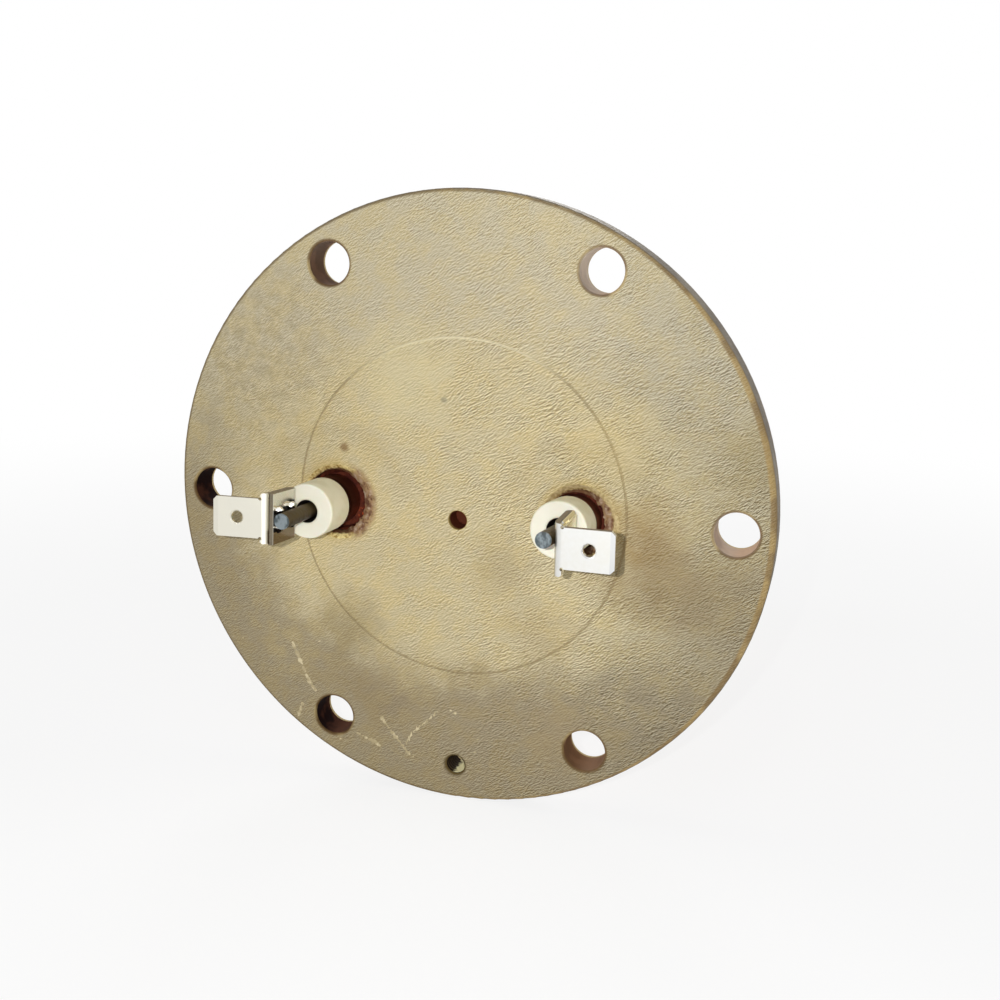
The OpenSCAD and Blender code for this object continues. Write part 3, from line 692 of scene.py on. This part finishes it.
MATERIALS = {
    "cast_brass": cast_brass(),
    "copper_tube": copper_tube(),
    "magnesia": powder("magnesia", srgb(240, 238, 228), srgb(222, 218, 204), 1.6),
    "winding_wire": winding_wire(),
    "terminal_steel": terminal_steel(),
    "sealing_compound": filler("sealing_compound", srgb(58, 24, 17), srgb(96, 48, 32), 0.6, 0.0),
    "bush_ceramic": bush_ceramic(),
    "plated_tab": plated_tab(),
    "dark_filler": filler("dark_filler", srgb(64, 25, 18), srgb(98, 46, 30), 0.6, 0.0),
    "brazing_filler": filler("brazing_filler", srgb(176, 140, 76), srgb(214, 184, 116), 0.3, 0.7),
}
WELD_CHROME = weld_metal("weld_chrome", srgb(252, 250, 244), srgb(24, 18, 14))
WELD_COPPER = weld_metal("weld_copper", srgb(222, 178, 158), srgb(112, 62, 50))
RIM_OXIDE = {"left": rim_oxide("left", -0.1), "right": rim_oxide("right", -0.35)}
BRIGHT_BRASS = bright_brass()
THREAD_BRASS = thread_brass()


def dress_nodes():
    for row in frame["record"]["subparts"]:
        target = frame["nodes"][row["node"]]
        target.data.materials.clear()
        target.data.materials.append(MATERIALS[row["material_slot"]])


# New pieces in mesh code

def add_piece(name, material, points, faces, smooth=True):
    mesh = bpy.data.meshes.new(name)
    mesh.from_pydata([tuple(Vector(p) * MM) for p in points], [], faces)
    mesh.update()
    shape = bmesh.new()
    shape.from_mesh(mesh)
    bmesh.ops.recalc_face_normals(shape, faces=shape.faces)
    shape.to_mesh(mesh)
    shape.free()
    for polygon in mesh.polygons:
        polygon.use_smooth = smooth
    piece = bpy.data.objects.new(name, mesh)
    bpy.context.scene.collection.objects.link(piece)
    piece.data.materials.append(material)
    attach(piece, "root")
    return piece


def sweep(rings, closed):
    """Points and faces of a tube through rings of equal length, capped where it is open."""
    count = len(rings[0])
    points = [p for ring in rings for p in ring]
    faces = []
    last = len(rings) if closed else len(rings) - 1
    for i in range(last):
        here, there = i * count, ((i + 1) % len(rings)) * count
        for j in range(count):
            k = (j + 1) % count
            faces.append((here + j, here + k, there + k, there + j))
    if not closed:
        faces.append(tuple(range(count)))
        faces.append(tuple(range(len(points) - count, len(points))))
    return points, faces


def lump(point, size, seed):
    return noise.noise(Vector(point) / size + Vector((seed, 2 * seed, 3 * seed)))


def earth_thread():
    """Thread of the tapped earth hole, as a ridge that winds along its bore."""
    pitch, steps, height = 0.7, 40, 0.22
    top, bottom = FRONT_Y + 0.45, -0.25
    turns = (bottom - top) / pitch
    rings = []
    for i in range(int(turns * steps) + 1):
        angle = 2 * math.pi * i / steps
        y = top + pitch * i / steps
        fade = min(1.0, i / steps, (turns * steps - i) / steps)
        ring = []
        for radius, shift in ((EARTH_R + 0.03, -0.26), (EARTH_R - height * fade, -0.05),
                              (EARTH_R - height * fade, 0.05), (EARTH_R + 0.03, 0.26)):
            ring.append((radius * math.cos(angle), y + shift, EARTH_Z + radius * math.sin(angle)))
        rings.append(ring)
    points, faces = sweep(rings, closed=False)
    return add_piece("earth_thread", THREAD_BRASS, points, faces, smooth=False)


def rim_crust(side, seed, inset_right, inset_left):
    """Lip of the recess: a smooth bevel beside the bush and a rough crust away from it."""
    centre = terminal_centre(side)
    mouth = recess_radius(side)
    steps, across = 200, 15
    rings = []
    for i in range(steps):
        angle = 2 * math.pi * i / steps
        spoke = Vector((math.cos(angle), 0, math.sin(angle)))
        rightness = 0.5 + 0.5 * math.cos(angle + math.radians(8))
        crusty = min(1.0, max(0.0, (rightness - 0.45) / 0.3))
        inset = inset_left + (inset_right - inset_left) * rightness
        inner = mouth - inset - crusty * (0.35 * lump(spoke * 5, 0.9, seed) + 0.2 * lump(spoke * 5, 0.4, seed))
        outer = mouth + 0.74 + crusty * max(0.0, 0.1 + 0.4 * lump(spoke * 5, 1.2, seed + 5))
        ring = []
        for j in range(across):
            share = j / (across - 1)
            radius = inner + share * (outer - inner)
            depth = max(0.0, mouth + 0.7 - radius) * (1 - 0.45 * crusty)
            rough = lump(spoke * radius, 0.5, seed + 9) * 0.5 + 0.5
            proud = math.sin(math.pi * share) ** 0.7 * (0.02 + crusty * 0.15 * (0.2 + 1.2 * rough))
            ring.append(centre + spoke * radius)
            ring[-1].y = FRONT_Y + min(depth, 1.2) - proud
        floor = []
        for point in reversed(ring[1:-1]):
            floor.append(Vector((point.x, point.y + 0.3, point.z)))
        rings.append(ring + floor)
    points, faces = sweep(rings, closed=True)
    return add_piece("rim_crust_" + side, RIM_OXIDE[side], points, faces)


def weld_nugget(name, material, place, size, seed):
    """Drop of molten plate that bridges the plate and the pin."""
    shape = bmesh.new()
    bmesh.ops.create_icosphere(shape, subdivisions=4, radius=1.0)
    points = []
    for vertex in shape.verts:
        direction = vertex.co.copy()
        swell = 1 + 0.16 * lump(direction, 0.9, seed) + 0.06 * lump(direction, 0.35, seed)
        points.append(place + Vector([d * s * swell for d, s in zip(direction, size)]))
    faces = [tuple(v.index for v in face.verts) for face in shape.faces]
    shape.free()
    return add_piece(name, material, points, faces)


def welds():
    """Both pairs of welds show on the left, and on the right only the pair near the bush."""
    outward, rise = 1.125, 1.41
    front, back = ("front", 1.3), ("back", 5.5)
    for side, turn, rows, material in (("left", -1, (front, back), WELD_CHROME),
                                       ("right", 1, (back,), WELD_COPPER)):
        inward = pin_axis(side)
        up = Vector((0, -inward.z, inward.y))
        tip = pin_tip(side)
        for row, behind in rows:
            for level, sign in (("top", 1), ("low", -1)):
                place = tip + inward * behind + up * sign * rise + Vector((turn * outward, 0, 0))
                weld_nugget("weld_%s_%s_%s" % (side, row, level), material, place,
                            (0.7, 0.8, 0.7), behind + sign)


def casting_line():
    """Faint raised vein of the casting between the two terminals."""
    route = [Vector(p) for p in ((-17.0, -5.6), (-11.5, -6.1), (-6.4, -6.0), (0.8, -4.5),
                                 (4.0, -3.6), (7.3, -2.9), (11.1, -0.8))]
    rings = []
    parts = 14
    for i in range((len(route) - 1) * parts + 1):
        index = min(i // parts, len(route) - 2)
        share = i / parts - index
        flat = route[index].lerp(route[index + 1], share)
        heading = (route[index + 1] - route[index]).normalized()
        sideways = Vector((-heading.y, heading.x))
        end_fade = math.sin(math.pi * i / ((len(route) - 1) * parts)) ** 0.35
        wobble = 0.25 * noise.noise(Vector((i * 0.11, 4.0, 0.0)))
        ring = []
        for step in range(7):
            turn = math.pi * step / 6
            offset = sideways * (0.34 * math.cos(turn) + wobble)
            rise = 0.07 * end_fade * math.sin(turn)
            ring.append((flat.x + offset.x, FRONT_Y - rise, flat.y + offset.y))
        ring.append((flat.x + sideways.x * wobble, FRONT_Y + 0.1, flat.y + sideways.y * wobble))
        rings.append(ring)
    points, faces = sweep(rings, closed=False)
    return add_piece("casting_line", MATERIALS["cast_brass"], points, faces)


def nicks():
    """Pale nicks of bare metal on the lower left of the front, in chains and alone."""
    # Width, length along the chain, gap and route of each chain
    chains = ((0.9, 1.1, 0.5, ((-30.4, -26.4), (-28.7, -30.1), (-27.2, -33.5), (-25.9, -35.1))),
              (0.7, 0.9, 0.6, ((-28.5, -37.4), (-29.6, -40.3))),
              (0.7, 0.95, 0.5, ((-13.6, -38.2), (-12.3, -39.8), (-10.7, -41.6), (-8.2, -44.5))),
              (0.85, 1.1, 0.6, ((-18.5, -41.6), (-16.6, -42.4), (-15.0, -42.8), (-13.7, -43.7))),
              (0.7, 0.9, 0.6, ((-1.3, -34.9), (0.0, -35.5))),
              (0.3, 1.0, 0.5, ((-3.1, -35.5), (-5.2, -37.7), (-7.8, -40.1), (-9.0, -42.4))))
    alone = ((-41.6, -23.6), (-40.1, -26.9), (-28.6, -20.9), (-22.1, -16.4), (-25.2, -25.7),
             (-21.3, -43.3), (4.1, -39.7), (3.6, -42.1), (-13.4, -38.0), (-7.7, -44.6))
    marks = [(Vector(place), 0.3, 0.4, 24.0) for place in alone]
    for width, length, gap, route in chains:
        for start, end in zip(route, route[1:]):
            start, end = Vector(start), Vector(end)
            heading = math.degrees(math.atan2(end.y - start.y, end.x - start.x))
            count = max(1, round((end - start).length / gap))
            for i in range(count):
                place = start.lerp(end, (i + rng.uniform(0.1, 0.9)) / count)
                size = rng.uniform(0.5, 1.5)
                marks.append((place, width * size, length / 2 * size, heading + rng.uniform(10, 45)))
    points = []
    faces = []
    for place, width, half, heading in marks:
        angle = math.radians(heading)
        along = Vector((math.cos(angle), math.sin(angle)))
        aside = Vector((-along.y, along.x))
        base = len(points)
        for j in range(10):
            turn = 2 * math.pi * j / 10
            reach = rng.uniform(0.7, 1.1)
            flat = place + along * half * reach * math.cos(turn) + aside * width / 2 * reach * math.sin(turn)
            points.append((flat.x, FRONT_Y + 0.01, flat.y))
        points.append((place.x, FRONT_Y - 0.04, place.y))
        points.append((place.x, FRONT_Y + 0.06, place.y))
        for j in range(10):
            k = (j + 1) % 10
            faces.append((base + j, base + k, base + 10))
            faces.append((base + k, base + j, base + 11))
    return add_piece("front_nicks", BRIGHT_BRASS, points, faces, smooth=False)


# Stage, light and camera

def stage_material():
    material = bpy.data.materials.new("pale_floor")
    material.use_nodes = True
    tree = material.node_tree
    tree.nodes.clear()
    output = tree.nodes.new("ShaderNodeOutputMaterial")
    blend = tree.nodes.new("ShaderNodeMixShader")
    glow = tree.nodes.new("ShaderNodeEmission")
    matt = tree.nodes.new("ShaderNodeBsdfDiffuse")
    path = tree.nodes.new("ShaderNodeLightPath")
    seen = tree.nodes.new("ShaderNodeMath")
    seen.operation = "MAXIMUM"
    seen_any = tree.nodes.new("ShaderNodeMath")
    seen_any.operation = "MAXIMUM"
    share = tree.nodes.new("ShaderNodeMath")
    share.operation = "MULTIPLY"
    place = tree.nodes.new("ShaderNodeTexCoord")
    reach = tree.nodes.new("ShaderNodeVectorMath")
    reach.operation = "LENGTH"
    fade = tree.nodes.new("ShaderNodeMapRange")
    fade.interpolation_type = "SMOOTHSTEP"
    for key, value in (("From Min", 0.14), ("From Max", 0.42), ("To Min", 0.82), ("To Max", 1.0)):
        fade.inputs[key].default_value = value
    tree.links.new(place.outputs["Object"], reach.inputs[0])
    tree.links.new(reach.outputs["Value"], fade.inputs["Value"])
    tree.links.new(fade.outputs[0], share.inputs[1])
    glow.inputs["Color"].default_value = (1, 1, 1, 1)
    glow.inputs["Strength"].default_value = 1.0
    matt.inputs["Color"].default_value = (0.95, 0.95, 0.95, 1)
    tree.links.new(path.outputs["Is Camera Ray"], seen.inputs[0])
    tree.links.new(path.outputs["Is Glossy Ray"], seen.inputs[1])
    tree.links.new(seen.outputs[0], seen_any.inputs[0])
    tree.links.new(path.outputs["Is Transmission Ray"], seen_any.inputs[1])
    tree.links.new(seen_any.outputs[0], share.inputs[0])
    tree.links.new(share.outputs[0], blend.inputs[0])
    tree.links.new(matt.outputs[0], blend.inputs[1])
    tree.links.new(glow.outputs[0], blend.inputs[2])
    tree.links.new(blend.outputs[0], output.inputs[0])
    return material


def floor():
    size = 3.0
    level = flange_low.z * MM
    mesh = bpy.data.meshes.new("floor")
    mesh.from_pydata([(-size, -size, level), (size, -size, level), (size, size, level),
                      (-size, size, level)], [], [(0, 1, 2, 3)])
    piece = bpy.data.objects.new("floor", mesh)
    piece.data.materials.append(stage_material())
    bpy.context.scene.collection.objects.link(piece)


def world():
    scene_world = bpy.data.worlds.new("studio")
    bpy.context.scene.world = scene_world
    scene_world.use_nodes = True
    tree = scene_world.node_tree
    background = tree.nodes["Background"]
    path = tree.nodes.new("ShaderNodeLightPath")
    seen = tree.nodes.new("ShaderNodeMath")
    seen.operation = "MAXIMUM"
    seen_any = tree.nodes.new("ShaderNodeMath")
    seen_any.operation = "MAXIMUM"
    level = tree.nodes.new("ShaderNodeMapRange")
    background.inputs["Color"].default_value = (1, 1, 1, 1)
    tree.links.new(path.outputs["Is Camera Ray"], seen.inputs[0])
    tree.links.new(path.outputs["Is Glossy Ray"], seen.inputs[1])
    tree.links.new(seen.outputs[0], seen_any.inputs[0])
    tree.links.new(path.outputs["Is Transmission Ray"], seen_any.inputs[1])
    tree.links.new(seen_any.outputs[0], level.inputs["Value"])
    level.inputs["To Min"].default_value = 0.17
    level.inputs["To Max"].default_value = 1.0
    tree.links.new(level.outputs[0], background.inputs["Strength"])


def area_light(name, place, target, size, power):
    data = bpy.data.lights.new(name, "AREA")
    data.shape = "DISK"
    data.size = size
    data.energy = power
    lamp = bpy.data.objects.new(name, data)
    lamp.location = place
    heading = Vector(target) - Vector(place)
    lamp.rotation_euler = heading.to_track_quat("-Z", "Y").to_euler()
    bpy.context.scene.collection.objects.link(lamp)


def lights():
    """A small flash beside the lens, as the shadows in the photo show, and soft lamps round it."""
    middle = (0.0, 0.03, 0.0)
    area_light("flash", FLASH_PLACE, (0.0, -0.006, 0.0), 0.002, 0.221)
    area_light("soft_left", (-0.75, 0.0, 0.6), middle, 0.5, 1.6)
    area_light("soft_right", (0.8, 0.15, 0.5), middle, 0.5, 1.6)
    area_light("back", (-0.2, 0.85, 0.45), middle, 0.5, 3.4)


FLASH_PLACE = (48.0 * MM, -188.0 * MM, 48.0 * MM)
CAMERA_PLACE = (61.384 * MM, -184.454 * MM, 44.608 * MM)
CAMERA_TURN = (77.2148, -1.1139, 17.153)
CAMERA_LENS = 42.723


def camera():
    data = bpy.data.cameras.new("camera")
    data.lens = CAMERA_LENS
    data.sensor_width = 36.0
    data.clip_start = 0.005
    data.clip_end = 20.0
    eye = bpy.data.objects.new("camera", data)
    eye.location = CAMERA_PLACE
    eye.rotation_euler = [math.radians(angle) for angle in CAMERA_TURN]
    bpy.context.scene.collection.objects.link(eye)
    bpy.context.scene.camera = eye


camera()
dress_nodes()
earth_thread()
rim_crust("left", 4, 0.85, 0.0)
rim_crust("right", 7, 1.75, 0.3)
welds()
casting_line()
nicks()
floor()
world()
lights()
bpy.context.scene.view_settings.view_transform = "Standard"
